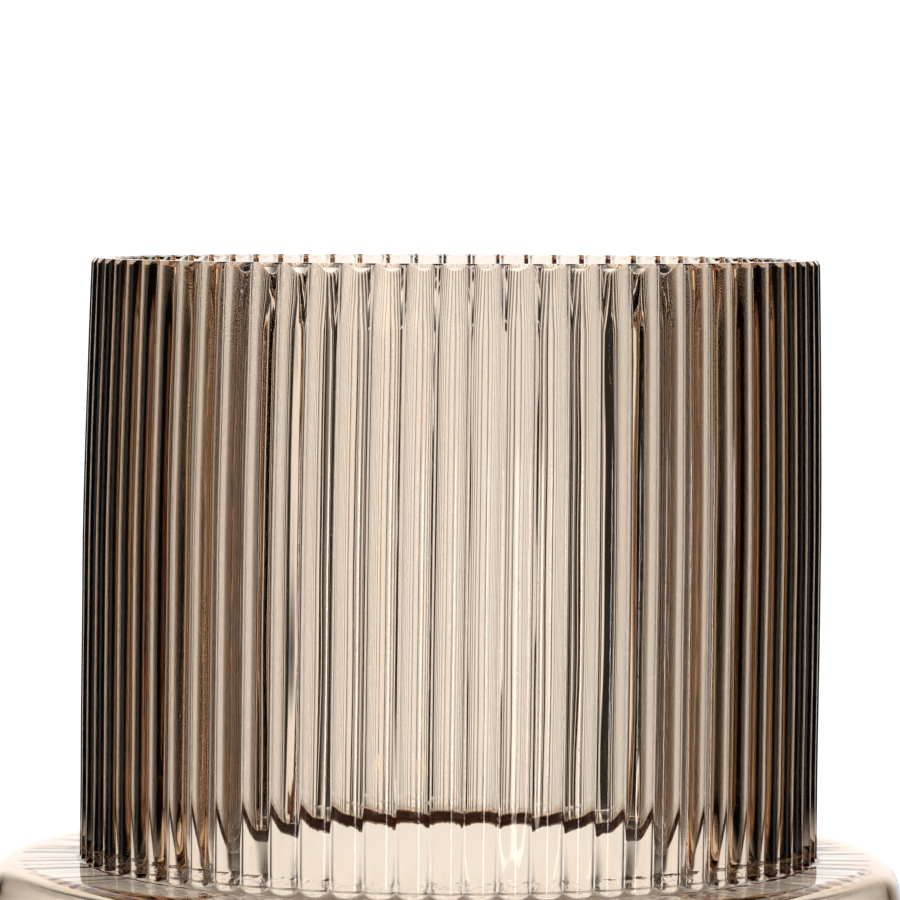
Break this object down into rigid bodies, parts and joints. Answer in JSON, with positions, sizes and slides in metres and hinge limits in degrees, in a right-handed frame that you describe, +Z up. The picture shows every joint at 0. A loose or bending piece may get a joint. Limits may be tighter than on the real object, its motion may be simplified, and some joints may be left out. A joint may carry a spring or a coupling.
{
  "type": "glass vase",
  "caption": "Amber glass vase: a straight ribbed cylinder with a wide open mouth, set on a wider, smooth, flat-shouldered round bowl.",
  "frame": {"origin": "centre of the underside, on the surface that the vase stands on", "axes": "+Z up through the open mouth; the vase is turned about Z, and -Y is its front"},
  "size_m": [0.2038, 0.2038, 0.2],
  "materials": {
    "ribbed_glass": "clear amber glass, mould-ribbed outside, fire polished",
    "bowl_glass": "clear amber glass, smooth and fire polished",
    "base_glass": "clear amber glass, thick and fire polished"
  },
  "bodies": {
    "root": {"ribbed_cylinder": "ribbed_glass", "shoulder_bowl": "bowl_glass", "base_pad": "base_glass"}
  },
  "joints": []
}
